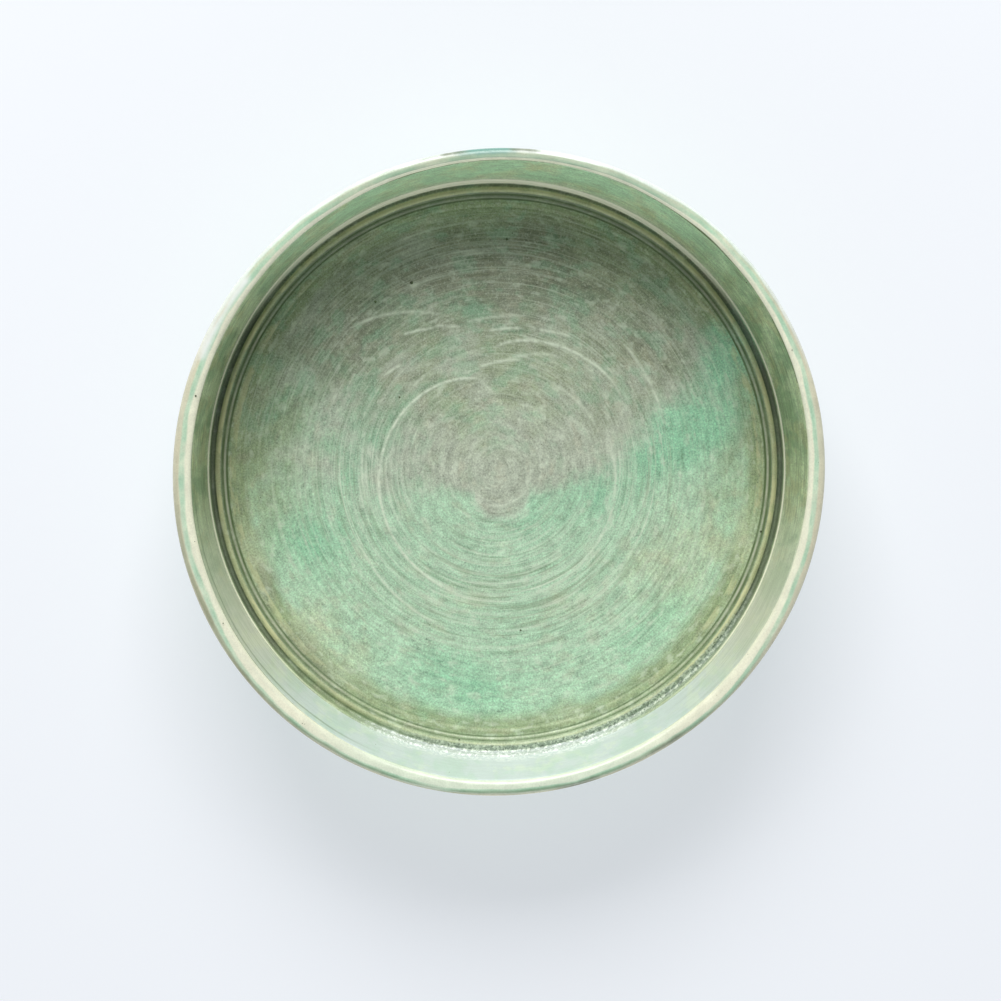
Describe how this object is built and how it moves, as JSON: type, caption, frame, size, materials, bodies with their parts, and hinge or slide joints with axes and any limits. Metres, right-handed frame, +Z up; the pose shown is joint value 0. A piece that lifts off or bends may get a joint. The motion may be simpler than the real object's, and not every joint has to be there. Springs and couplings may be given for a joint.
{
  "type": "rice bowl",
  "caption": "Shallow round stoneware rice bowl with a broad flat floor, a short steep wall, a rounded lip and a low turned foot ring, glazed inside and outside.",
  "frame": {"origin": "on the table, under the middle of the bowl, at the centre of the foot ring's tread", "axes": "+Z up along the bowl's axis of revolution; +X and +Y are two level directions at right angles"},
  "size_m": [0.16, 0.16, 0.038],
  "materials": {
    "clay": "bare fired stoneware, matte, with turning marks",
    "foot_clay": "bare fired stoneware, wiped smooth on the tread",
    "inside_glaze": "mottled celadon green to turquoise, satin, grey and matte where it is thin",
    "outside_glaze": "mottled green, satin, breaking pale on the ripples",
    "rim_glaze": "cream where it breaks over the lip, gloss"
  },
  "bodies": {
    "root": {"clay_body": "clay", "foot_ring": "foot_clay", "inside_glaze": "inside_glaze", "outside_glaze": "outside_glaze", "rim_glaze": "rim_glaze"}
  },
  "joints": []
}
